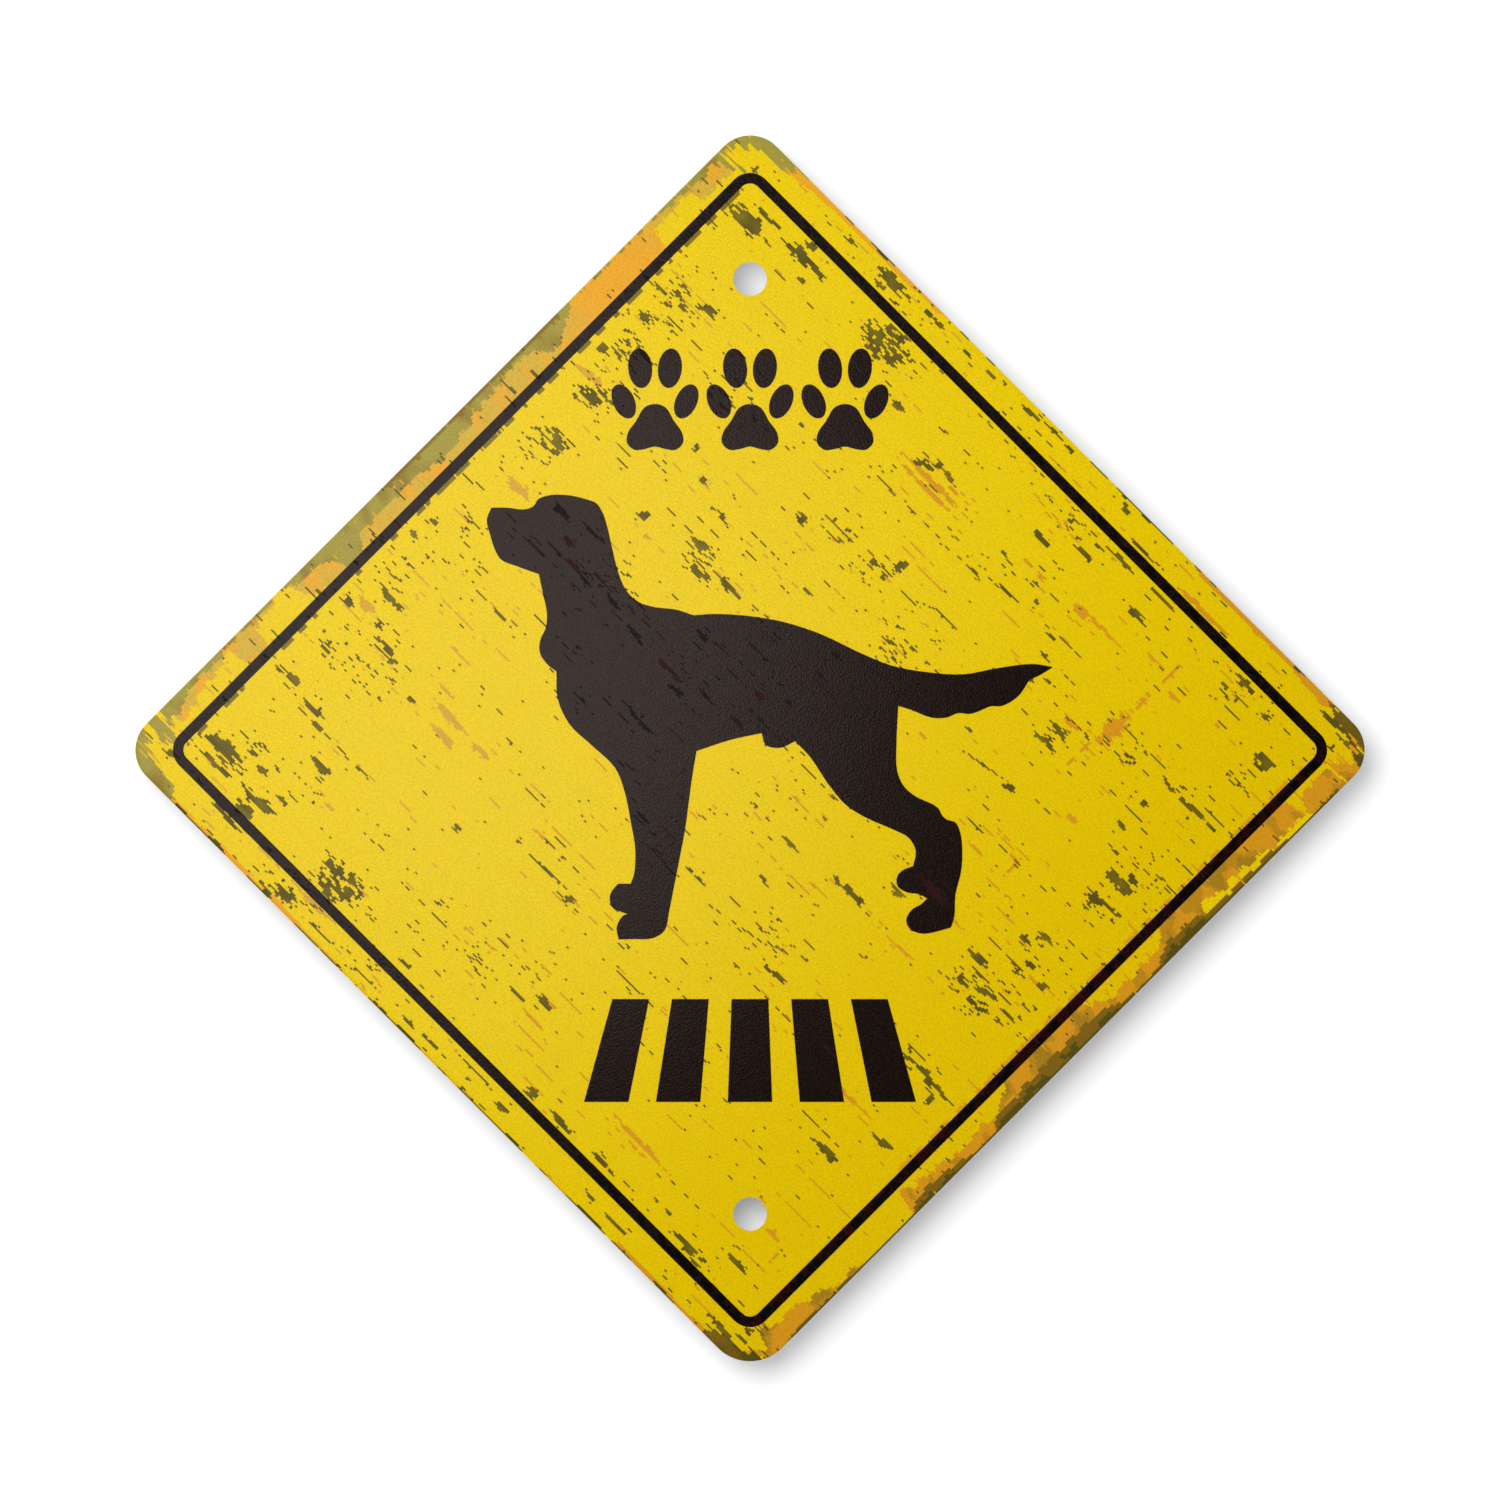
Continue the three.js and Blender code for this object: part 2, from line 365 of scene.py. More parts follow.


# %% [markdown]
# ## Where the wear lies
# The small flecks could lie anywhere, but an eye remembers the big ones: the patches in the top and left
# corners, the speckled discs beside the line, the clusters of short streaks and the orange smears. Those are
# listed one by one, each as along, up, length and height in millimetres, and some with an angle in degrees. A
# spherical gradient, stretched to that size, fades from one in the middle of the spot to a half on its edge,
# and noise eats at it there. The crowded places are listed too. They hold no wear of their own, and small
# flecks gather in them.

# %% The big chips, discs, clusters and smears, listed one by one
CHIPS = [
    (-128, 127, 16, 5.4), (-125, 133, 14, 1.7), (-106, 131.7, 15, 4), (-107, 136.5, 5, 2.4),
    (-101, 126, 4.4, 1.8), (-81, 147.5, 11, 4), (-60, 148.5, 11, 1.2), (-44, 148, 5, 1.1),
    (-34, 148.7, 7, 1.2), (-14, 149, 9, 1.6), (-5, 150.3, 9, 1.4), (-82, 143.6, 4, 2), (-20, 114, 13, 2.2),
    (-29, 110.5, 5, 2.2), (-48, 119, 5, 2.8), (-130, 78.4, 4.4, 3), (-122.7, 69.7, 9, 2), (-116, 96, 6, 3),
    (-133, 61, 4, 4.4), (-125, 46.7, 9, 3.4), (-128, 43, 4, 1.6), (-122, 50, 7, 1.6), (-120.3, 26, 4.4, 4),
    (-122, 28.7, 9, 2.6), (-83, 30, 4.4, 3.6), (-61.7, 37.5, 10, 3), (-55.4, 30, 8, 2.6),
    (-46, 34, 10, 2.4), (-86.3, 59.4, 3, 3), (-77, 54, 4.4, 2.6), (-43.5, 68, 3.6, 3.4), (-8.7, 80, 3.6, 5),
    (-25.3, 52, 5, 1), (-35.6, 76, 2.4, 1.6), (-64, 50, 4, 1), (19, 121.4, 8.4, 2.4), (32.5, 128, 9, 2.2),
    (44, 135.5, 11, 1.9), (63, 136, 13, 1.2), (59.4, 126, 9, 2.4), (103, 135.5, 10, 2.4),
    (116.5, 132.7, 3.4, 1.7), (99, 130, 3.4, 2), (33, 104.8, 2.6, 2.2), (28, 109, 4, 1.2),
    (23, 100.4, 7, 1.1), (9.5, 97, 5.4, 1), (45, 100, 4, 1.4), (122, 92.6, 15, 1.9), (107.7, 82, 3.6, 2.4),
    (69, 73, 10, 1.6), (70.5, 79, 8, 2), (107.7, 71, 4.4, 2), (111.6, 63.6, 4.4, 1), (121, 57, 10, 4.4),
    (118.7, 46.7, 6, 4), (126.7, 48.3, 7, 1.4), (71, 53, 4.4, 2.8), (60, 52.6, 11, 0.8, 10),
    (116.6, 25.4, 5, 4.4), (111.6, 20.6, 4, 2.6), (118, 15.4, 4.4, 2.4), (127, 13.4, 5, 2.4),
    (104.5, 4.7, 9, 3), (16, 78.7, 10, 0.9), (5, 149.4, 5, 1.6), (32, 149, 3.4, 2.4), (46, 143, 12, 1.3),
    (-128, -127.4, 16, 5.4), (-126, -133, 12, 1.8), (-107, -131.7, 15, 3.6), (-101, -126, 4.4, 1.8),
    (-108.5, -137, 8, 4), (-100.5, -108, 9.4, 2.4), (-129, -93.4, 7, 3), (-116, -96, 8, 2),
    (-111, -99, 6, 2), (-124, -50.7, 10, 2.2), (-113, -63.3, 7, 2.4), (-108.5, -65.4, 6, 2),
    (-120, -60, 4, 2), (-134, -61.4, 4.4, 3.8), (-134, -29.3, 3.4, 1.4), (-132, -21.4, 3.4, 2.6),
    (-95, -70, 2.6, 2.6), (-52, -90, 3.2, 2.4), (-20, -78.6, 22, 0.9), (-8.4, -80.4, 3.4, 3.4),
    (-32.5, -135.4, 8, 1.2), (-113, -123, 4.4, 1.6), (-78.4, -148, 10, 3.6), (-61, -148.4, 12, 1),
    (-40, -148.4, 9, 1), (-18, -148.6, 6, 1.4), (-7, -148.4, 9, 1.2), (-128, -78.4, 4.4, 1.4),
    (-111.6, -143, 12, 2), (60, -10.6, 16, 2.4), (31, -13, 6.4, 2), (34, -28, 4.4, 2), (116, -1.4, 6, 1.6),
    (125, -2.2, 8, 1.4), (107, -5.4, 3.4, 2.6), (116, -7.6, 8, 1.4), (129, 4, 4, 1.2),
    (129.5, 0.4, 4.4, 1.4), (125, -37, 10, 2), (127.5, -41.6, 2.6, 3.6), (119, -35.6, 4.4, 2.8),
    (59.4, -48.3, 9, 2), (99, -38, 3.4, 2.6), (126, -63.3, 8, 2.6), (117, -79, 12, 2.8),
    (10.8, -111, 7, 2.8), (2, -116, 6, 1.8), (120, -127.5, 10, 2.2), (103.7, -135.4, 12, 2.8),
    (-146.4, 29, 6.5, 1.2), (-143.6, 38.5, 3.6, 1.2), (-143.6, -39, 3.6, 1.4), (-143.4, -66.6, 2.6, 1.2),
    (30, -136, 4.4, 3.6), (43.5, -136, 10, 2), (62.5, -136, 13, 1.2), (111, -137.4, 5, 1),
    (26, -147, 5.4, 2.4), (68, -147, 5, 1.5), (80, -147.6, 9, 1.4), (10, -144.6, 14, 1),
    (40, -45.4, 30, 0.35, 10), (-104, 12, 9, 2.6), (-91.6, 14.2, 9, 1.6), (-97.5, 1.2, 11, 0.9, -4),
    (-82, 0.8, 8, 1.1), (-70, 2.3, 7, 1.8), (-56.2, 0, 8, 1.5, -6), (-39.7, 15.9, 6, 1.4),
    (-36, -19.5, 16, 1.6, -4), (-33, -3.6, 5, 2), (-2.2, 43.3, 5, 1.6), (-0.4, 34.6, 4, 1.2),
    (51.8, 26.6, 8, 2.6), (-10, -42.6, 5, 1.2), (9, -48.6, 8, 1), (48.3, 85, 6, 2), (70, 1, 5, 2.4),
    (-24, 2.2, 5, 1.2), (134, 147.6, 14, 1.8, 4), (141, 145.6, 8, 1.2), (133, -147.4, 14, 1.8, -4),
    (140, -144.8, 8, 1.2), (139.8, 141.3, 2.6, 2.6), (139.8, -141.3, 2.6, 2.6), (-139.8, 141.3, 2.4, 2.4),
    (-139.8, -141.3, 2.4, 2.4),
]
DISCS = [(-66.5, 131, 18, 12), (-67, -131.7, 18, 12), (126.7, 121, 8, 6)]
CLUSTERS = [
    (-53, 131.5, 6, 9), (-53, -131, 6, 8), (11, 60, 15, 12), (-18, 76.8, 10, 7), (-125, 23, 18, 12),
    (-117, -77.6, 14, 12), (-17.4, -117, 13, 9), (126, 111, 12, 7), (124, 67, 12, 8), (-128, -46, 12, 12),
    (70, 76, 14, 10), (114, -5, 20, 12), (-112, -120, 26, 9), (-124, 90, 18, 22), (-122, 50, 16, 16),
    (-58, 33, 22, 12), (-77, 145, 12, 8), (-78, -146, 14, 8), (122, 47, 12, 10), (118, 92, 18, 8),
    (-26, 112, 18, 8), (-92, 80, 22, 12), (-129, 66, 10, 26), (109, -36, 22, 12), (-128, 92, 12, 18),
    (84, 8, 18, 10), (-122, -14, 14, 10), (-76, -128, 14, 8),
]
SMEARS = [
    (-21, 108.6, 26, 1.7), (-19, 105.6, 22, 1.8), (53, 114.2, 20, 1.3), (46.5, 113.5, 7.5, 3.4),
    (83, 120, 1.6, 9), (82.6, 106, 1.8, 8), (82.3, 93, 6.5, 13), (80, 82, 1.4, 6), (80, 74.4, 1.4, 4),
    (89, 115, 5, 1.8), (91.4, 35, 1.4, 7), (89, 37.5, 4, 1.2), (94, 61, 4.4, 1.8), (-81.5, -65, 14, 2.8),
    (-78.4, -71.3, 10, 3), (-65.7, -65.7, 7.4, 2.8), (-31, -71.7, 10, 0.8), (-128, -58, 8, 3),
    (67, -121.7, 22, 2), (128, -117, 1.4, 4.4), (122, -112, 5.4, 3), (109, -60.4, 13, 1.6),
    (74, 142.8, 22, 2), (-68, -142.9, 17, 1.8), (125, 12.5, 9.4, 1.5), (-130, 51.5, 10, 3),
    (-119, 7, 10, 3.6), (77, 30.5, 6, 1.4), (71, 84, 5, 4), (-39.7, -0.5, 10, 1.7), (-24, 2, 6, 1.6),
    (-11, 15, 4, 2.4), (78, 10.2, 12, 3), (-94.4, 6.3, 4, 2.2), (-10.3, 3.5, 5, 1.8), (-72, 6, 5, 1.4),
    (-88, 2, 6, 1.2),
]
CROWDED = [
    (-122, 90, 34, 34), (-124, 48, 14, 20), (-124, 22, 20, 20), (-118, -62, 46, 56), (-118, -118, 30, 12),
    (124, 116, 14, 18), (124, 62, 12, 20), (120, 10, 18, 24), (-90, 133, 50, 8), (60, 133, 110, 8),
    (-18, 72, 46, 20), (-55, 34, 34, 14), (60, -137, 130, 8), (-22, -114, 30, 16), (-80, 146, 40, 10),
    (-60, -147, 110, 8), (108, -5, 24, 12), (84, 84, 34, 24), (-84, 6, 34, 14), (-40, 0, 30, 16),
    (66, 12, 24, 16), (-5, -45, 30, 8),
]
by_hand = {"chips": CHIPS, "discs": DISCS, "clusters": CLUSTERS, "smears": SMEARS, "crowded places": CROWDED}
print("set by hand:", ", ".join(f"{len(places)} {kind}" for kind, places in by_hand.items()))

# %% [markdown]
# One function turns any of these lists into a mask. It lays one stretched ball of light for each place, and
# keeps the brightest.

# %% Turning a list of places into a mask
def spots(face, places):
    """One in the middle of each spot, a half on its edge, and nothing at twice its size."""
    finish = face.finish
    shown = 0.0
    for along, up, length, height, *lean in places:
        turn = (0, 0, math.radians(sum(lean)))
        inside = finish.node("Mapping", {"vector_type": "TEXTURE"},
                             {0: face.cells, 1: (along, up, 0), 2: turn, 3: (length, height, 1)})
        ball = finish.node("TexGradient", {"gradient_type": "SPHERICAL"}, {0: inside}, output=1)
        shown = ball | shown
    return shown


# %% [markdown]
# ## The small flecks
# Between the big chips lie hundreds of flecks, from single cells to dashes five millimetres long. A
# threshold on stretched noise makes them, and the crowded places lower that threshold, so that they gather
# in drifts and leave other parts clean. Dashes that follow one another along a line come from two noises
# multiplied: one very long and thin, which is the line, and one short. The flecks run along the sign's
# sides, give or take some degrees, as if something had dragged across the sign. LEVEL holds what each kind
# of wear has to rise above: a lower level makes more of it.

# %% The masks of wear that both films share
LEAN = 13
CROWD_HELP = 0.08
DRIFT_HELP = 0.3
CLEAN_ELSEWHERE = 0.02
CLUSTER_HELP = 0.4
STREAK_CONTRAST = 2
RAGGED_CHIPS = 1.8
RAGGED_DISCS = 0.8
RAGGED_SMEARS = 1.4
LEVEL = {"chips": 0.52, "discs": 0.5, "grit": 0.41, "clusters": 0.6, "dashes": 0.765, "specks": 0.775,
         "blots": 0.785, "line": 0.73, "steps": 0.6, "smears": 0.5, "dots": 0.77, "rust line": 0.75,
         "rust steps": 0.55}


class Wear:
    """Where the print is worn dark and where it is rusty, with the tone and the fine grain of the film."""

    def __init__(self, face):
        drift = face.noise(26, 18, seed=8.4).swing(DRIFT_HELP)
        self.crowd = spots(face, CROWDED) * CROWD_HELP + drift - CLEAN_ELSEWHERE
        self.ragged = face.noise(4.6, 1.4, seed=3.1, detail=2.0) - MIDDLE
        self.dark = self.big_dark(face) | self.small_dark(face)
        self.rust = self.all_rust(face)
        self.tone = face.noise(9, 5, seed=71.0)
        self.grain = face.noise(0.6, 0.6, seed=80.0, detail=1.0, roughness=0.6, fine=True)
        self.speckle = self.grain - MIDDLE

    def big_dark(self, face):
        chips = spots(face, CHIPS) + self.ragged * RAGGED_CHIPS > LEVEL["chips"]
        discs = spots(face, DISCS) + self.ragged * RAGGED_DISCS > LEVEL["discs"]
        grit = face.noise(2.6, 1.2, seed=12.7, detail=0.0, lean=-LEAN) > LEVEL["grit"]
        streaks = face.noise(7.0, 1.3, seed=15.3, lean=-LEAN) | face.noise(5.5, 1.2, seed=18.8, lean=LEAN)
        clusters = spots(face, CLUSTERS) * CLUSTER_HELP + streaks.swing(STREAK_CONTRAST)
        return chips | (discs * grit) | (clusters > LEVEL["clusters"])

    def small_dark(self, face):
        dashes = face.noise(6.0, 1.2, seed=21.3, lean=LEAN) + self.crowd > LEVEL["dashes"]
        specks = face.noise(4.2, 1.2, seed=33.9, lean=-LEAN) + self.crowd > LEVEL["specks"]
        blots = face.noise(6.5, 2.2, seed=37.7) + self.crowd > LEVEL["blots"]
        line = face.noise(38, 1.1, seed=41.2, detail=0.0) > LEVEL["line"]
        steps = face.noise(3.0, 1.2, seed=47.5, detail=0.0) + self.crowd > LEVEL["steps"]
        return dashes | specks | blots | (line * steps)

    def all_rust(self, face):
        smears = spots(face, SMEARS) + self.ragged * RAGGED_SMEARS > LEVEL["smears"]
        dots = face.noise(4.0, 1.1, seed=55.8, lean=-LEAN) + self.crowd > LEVEL["dots"]
        line = face.noise(26, 0.9, seed=61.4, detail=0.0) > LEVEL["rust line"]
        steps = face.noise(4.0, 1.4, seed=66.6, detail=0.0) > LEVEL["rust steps"]
        return smears | dots | (line * steps)


# %% [markdown]
# ## The yellow film
# Satin laminated vinyl, printed yellow. The wear shows as olive where the print is dark, and as tan and
# orange where it rusts. The margins outside the line are worn most, so each side gets its own reach: how
# far in from the edge the olive and the orange come, drawn as a curve along the side, with a skyline of
# small steps added.

# %% Colours of the yellow film
def seen(red, green, blue):
    """The linear colour that a shader takes, from one as it is seen in plain light, 0 to 255."""
    linear = []
    for value in (red, green, blue):
        share = value / 255
        linear.append(share / 12.92 if share < 0.04045 else ((share + 0.055) / 1.055) ** 2.4)
    return (*linear, 1)


YELLOW = seen(228, 196, 0)
DEEP_YELLOW = seen(219, 184, 0)
OLIVE = seen(86, 76, 21)
MOSS = seen(155, 143, 56)
BROWN = seen(124, 94, 23)
TAN = seen(203, 166, 52)
ORANGE = seen(226, 160, 32)
RUST = seen(208, 145, 25)
OCHRE = seen(162, 122, 27)
print("the yellow, as the shader takes it:", [round(part, 3) for part in YELLOW])

# %% [markdown]
# The reach of a margin is a length in millimetres that changes along the side. Painting it would tie the
# sign to a picture. A Float Curve node does it with a few stops, and straight handles keep the steps
# between them crisp.

# %% A length that varies along a side
LONGEST_REACH = 12.0


def reach(face, position, stops):
    """A length in mm that varies along a side. Each stop is a place along it and the length there."""
    share = (position + HALF) / (2 * HALF)
    drawn = [((place + HALF) / (2 * HALF), length / LONGEST_REACH) for place, length in stops]
    drawn = [(0.0, drawn[0][1]), *drawn, (1.0, drawn[-1][1])]
    return face.finish.node("FloatCurve", {"stops": drawn}, {"Value": share}) * LONGEST_REACH


# %% [markdown]
# The curves below are read off the sign, a side at a time. The upper left margin is moss green at the edge
# and mostly tan inside that, with one big orange patch. The lower right margin is worn brown and olive at the
# edge and orange inside that, and the thinnest part of its brown, a thread that runs all along the very edge,
# is painted shade of the rolled edge turning away from the light. The other two have a thin orange strip in
# places and olive nibs at the very edge.

# %% The reach of the wear, and of a line of painted shade, from each side
UPPER_LEFT_WARM = [
    (-132, 0), (-131, 7.5), (-122, 7.5), (-121, 4.5), (-112, 4), (-105, 2.5), (-101.5, 2), (-101, 12),
    (-91.5, 12), (-91, 2.5), (-82, 2), (-78, 0.5), (-72, 0), (-71, 5), (-69, 8.5), (-66, 9.5), (-60, 12),
    (101, 12), (101.5, 3), (116, 2.5), (120.5, 2.5), (121, 7.5), (135, 8), (137, 3), (140, 0),
]
UPPER_LEFT_MOSS = [
    (-150, 7), (-146, 5), (-143.5, 1), (-142, 1.5), (-139, 5), (-137.5, 2), (-134, 3.5), (-131, 4.5),
    (-124, 4), (-122, 1.5), (-100, 1), (-91, 1), (-80, 0.5), (-71, 0), (-70, 3), (-60, 3), (-56, 5),
    (-53, 10), (-45, 10), (-42, 5), (-30, 5), (-10, 5.5), (-5, 8), (0, 7), (8, 6), (12, 4.5), (28, 3),
    (33, 1), (38, 2.5), (44, 3), (47, 8), (52, 8), (57, 4.5), (63, 1.5), (66, 0), (100, 0), (120, 1.5),
    (127, 2), (134, 1), (137, 5), (139, 5), (141, 1.5), (143.5, 2), (146, 5), (150, 7),
]
LOWER_RIGHT_WARM = [
    (-150, 7), (-145, 8), (-142, 3), (-140, 4), (-139, 8), (-122, 8), (-120, 6), (-113, 5), (-109, 1),
    (-105, 2), (-101, 4.5), (-98, 2), (-95, 0), (-73, 0), (-72, 8), (-69, 10), (-66, 8), (-60, 7), (-50, 6),
    (-45, 5), (-36, 7), (-32, 5), (-28, 5), (-26, 7), (-21, 9), (-19, 12), (18, 12), (20, 9), (24, 7),
    (29, 5), (33, 6), (40, 6), (45, 5), (50, 6), (54, 8), (57, 12), (117, 12), (118, 4), (120, 3), (121, 9),
    (137, 8), (139, 5), (141, 1), (143, 4), (145, 8), (150, 8),
]
LOWER_RIGHT_GAP = [(69, 0), (71, 6), (80, 5.2), (95, 5.2), (99, 4), (104, 3), (116, 3), (120, 3), (121, 0)]
LOWER_RIGHT_DARK_WEAR_AND_SHADE = [
    (-140, 0), (-139, 1.5), (-120, 1.5), (-112, 1), (-105, 1.5), (-95, 0.5), (-73, 0.5), (-68, 4.5),
    (-58, 4), (-50, 3), (-46, 1.5), (-33, 1), (-31, 4), (-28, 4.7), (0, 5.5), (14, 5.5), (25, 4), (30, 1.5),
    (40, 0.7), (45, 1), (50, 4), (55, 5.5), (68, 5), (70, 2.7), (100, 2.7), (107, 2), (108, 0.7), (137, 1),
    (140, 0.5),
]
UPPER_RIGHT_STRIP = [
    (-137, 0), (-135, 3.5), (-130, 4), (-120, 2.8), (-110, 2), (-60, 1.6), (-57, 0), (60, 0), (67, 1.8),
    (110, 2), (120, 3), (128, 3.5), (132, 0),
]
LOWER_LEFT_STRIP = [
    (-132, 0), (-130, 1.3), (-95, 1.3), (-90, 0.8), (-80, 1.5), (-50, 0.8), (-47, 0), (85, 0), (88, 1.3),
    (110, 1.2), (118, 1), (130, 1.3), (140, 2),
]
CORNER_REACH = [
    (0, 24), (4.4, 22), (5.2, 9), (8, 5), (9.5, 2), (11, 3), (13, 9), (16.5, 10), (17.5, 4), (20, 3),
    (30, 3),
]
upper_left_stops = len(UPPER_LEFT_WARM + UPPER_LEFT_MOSS)
lower_right_stops = len(LOWER_RIGHT_WARM + LOWER_RIGHT_GAP + LOWER_RIGHT_DARK_WEAR_AND_SHADE)
print("the upper left is drawn with", upper_left_stops, "stops, the lower right with", lower_right_stops)

# %% [markdown]
# Each margin needs the same few things: how far a point is from each side, the skyline and the tongues that
# make an edge ragged, and the mixed colours. Moss and tan belong to the upper left half, rust and olive to
# the lower right. A class works them out once, and each side is then a short list of layers, the lowest
# first.

# %% What the margins have in common
SKYLINE_HILLS = 5.0
SKYLINE_STEPS = 2.4
TONGUE_LENGTH = 4.0
ORANGE_PATCH_MIDDLE = 81
ORANGE_PATCH_SPREAD = 13
STRIP_TURNS_FROM = -60
STRIP_TURNS_OVER = 120
ORANGE_FROM = 0.52
ORANGE_SHARPNESS = 8
MOSS_SHARPNESS = 3
DARK_FROM = 0.4
DARK_SHARPNESS = 5
BROWN_FROM = 0.56
OCHRE_FROM = 0.53
OCHRE_CORE_FROM = 0.61
OCHRE_COVER = 0.6


def within(value, middle, spread):
    """One or more within the spread of the middle, and fading to nothing over as much again."""
    return 2 - abs(value - middle) / spread


class Margins:
    """Lengths in mm from the sides, ragged edges, and the colours of the worn margins."""

    def __init__(self, film, face):
        hills = face.noise(40, 4.4, seed=90.1).swing(SKYLINE_HILLS)
        self.skyline = hills + face.noise(9, 1.3, seed=91.7).swing(SKYLINE_STEPS)
        self.tongues = face.noise(9, 0.9, seed=93.4).swing(TONGUE_LENGTH)
        self.from_upper_left = face.along + HALF
        self.from_lower_right = HALF - face.along
        self.nearest_height = (HALF - face.up) & (face.up + HALF)
        self.lower_right_half = face.along > 0
        patches = face.noise(14, 8, seed=95.2)
        orange_patch = within(face.up, ORANGE_PATCH_MIDDLE, ORANGE_PATCH_SPREAD)
        tan = film.mix(patches.swing(ORANGE_SHARPNESS, middle=ORANGE_FROM) | orange_patch, TAN, ORANGE)
        ochre_core = (patches > OCHRE_CORE_FROM) * (1 - OCHRE_COVER)
        self.rusty = film.mix((patches > OCHRE_FROM) * OCHRE_COVER + ochre_core, RUST, OCHRE)
        self.warm = film.mix(self.lower_right_half, tan, self.rusty)
        self.strip = film.mix((face.along - STRIP_TURNS_FROM) / STRIP_TURNS_OVER, ORANGE, RUST)
        self.moss = film.mix(patches.swing(MOSS_SHARPNESS), MOSS, BROWN)
        self.dark_patches = film.mix(patches > BROWN_FROM, OLIVE, BROWN)
        self.dark_clouds = film.mix(patches.swing(DARK_SHARPNESS, middle=DARK_FROM), OLIVE, BROWN)


# %% [markdown]
# Almost every layer is the same sum: a distance from a side, made ragged, is less than the reach there. A
# mix by that mask lays one colour over what lies below it, as a brush would.

# %% The layers of the four sides
RIM_NIB_RAGGED = 0.7
RIM_NIB_DEPTH = 0.9
RIM_NIB_COVER = 0.7
RIM_NIBS_MIDDLE = 17
RIM_NIBS_SPREAD = 42
DARK_RAGGED = 0.5
DARK_CORE_INSET = 2
STRIP_RAGGED = 0.4
NIB_LEVEL = 0.56
NIB_GROWTH = 7
NIB_AT_LEVEL = 0.4
PAINTED_RIM_SHADE = 0.6


def worn_upper_left(film, face, margins, colour):
    distance = margins.from_upper_left + margins.skyline
    colour = film.mix(distance < reach(face, face.up, UPPER_LEFT_WARM), colour, margins.warm)
    colour = film.mix(distance < reach(face, face.up, UPPER_LEFT_MOSS), colour, margins.moss)
    rim_nibs = margins.from_upper_left + margins.skyline * RIM_NIB_RAGGED < RIM_NIB_DEPTH
    rim_nibs = rim_nibs * (within(face.up, RIM_NIBS_MIDDLE, RIM_NIBS_SPREAD) > 1)
    return film.mix(rim_nibs * RIM_NIB_COVER, colour, BROWN)


def worn_and_shaded_lower_right(film, face, margins, colour):
    distance = margins.from_lower_right + margins.skyline
    colour = film.mix(distance < reach(face, face.up, LOWER_RIGHT_WARM), colour, margins.warm)
    colour = film.mix(distance < reach(face, face.up, LOWER_RIGHT_GAP), colour, YELLOW)
    # The brown band is worn print where it is wide. Where it narrows to a thread of half a millimetre or so
    # along the very edge, it is painted shade of the rolled edge.
    dark_reach = reach(face, face.up, LOWER_RIGHT_DARK_WEAR_AND_SHADE)
    smoother = margins.from_lower_right + margins.skyline * DARK_RAGGED
    colour = film.mix(smoother < dark_reach, colour, BROWN)
    return film.mix(smoother < dark_reach - DARK_CORE_INSET, colour, margins.dark_patches)


def worn_sides_and_rim_shade(film, face, margins, colour):
    for distance, stops in ((HALF - face.up, UPPER_RIGHT_STRIP), (face.up + HALF, LOWER_LEFT_STRIP)):
        ragged = distance + margins.tongues * STRIP_RAGGED
        colour = film.mix(ragged < reach(face, face.along, stops), colour, margins.strip)
    nib_height = face.noise(12, 2.4, seed=97.9).swing(NIB_GROWTH, middle=NIB_LEVEL) + NIB_AT_LEVEL
    # The olive nibs at the upper right and lower left edges are worn print. The olive line 0.6 mm wide along
    # the lower right edge is painted shade of the rolled edge turning away from the light.
    olive_nibs_and_rim_shade = (nib_height > margins.nearest_height) | (face.true_along > HALF - PAINTED_RIM_SHADE)
    return film.mix(olive_nibs_and_rim_shade, colour, OLIVE)


# %% [markdown]
# The tips of the corners are worn too. Their curve is read inwards from the upper right and lower left
# sides, and says how far the wear comes along from the other two. Streaks of the warm colour and of clean
# yellow cross it.

# %% The tips of the corners
CORNER_SPAN = 30
CORNER_DEPTH = 20
RUSTY_CORNER_FROM = 10
STREAKS_FROM = 4
WARM_STREAKS = 0.59
YELLOW_STREAKS = 0.63
CORNER_RAGGED = 4


def worn_corners(film, face, margins, colour):
    height = margins.nearest_height
    stops = [(place / CORNER_SPAN, length / CORNER_SPAN) for place, length in CORNER_REACH]
    shown = film.node("FloatCurve", {"stops": stops}, {"Value": height / CORNER_SPAN}) * CORNER_SPAN
    streaks = face.noise(14, 1.6, seed=99.3)
    streak_colour = film.mix(streaks > YELLOW_STREAKS, margins.warm, YELLOW)
    corner = film.mix(margins.lower_right_half, margins.moss, margins.dark_clouds)
    corner = film.mix((height > RUSTY_CORNER_FROM) * margins.lower_right_half, corner, margins.rusty)
    corner = film.mix((streaks > WARM_STREAKS) * (height > STREAKS_FROM), corner, streak_colour)
    nearest_along = margins.from_upper_left & margins.from_lower_right
    in_corner = (nearest_along + margins.tongues * CORNER_RAGGED < shown) * (height < CORNER_DEPTH)
    return film.mix(in_corner, colour, corner)


def worn_margins_and_rim_shade(film, face, colour):
    """The colour with the worn margins, and the painted shade along the lower right edge, laid over it."""
    margins = Margins(film, face)
    for lay in (worn_upper_left, worn_and_shaded_lower_right, worn_sides_and_rim_shade, worn_corners):
        colour = lay(film, face, margins, colour)
    return colour


# %% [markdown]
# The line itself has a fringe on its inner side: broken olive blocks along its upper left side and orange
# ones along its lower right side, little more than a cell deep. Both stop short of the corners, and the
# orange one ends a good way above the bottom.

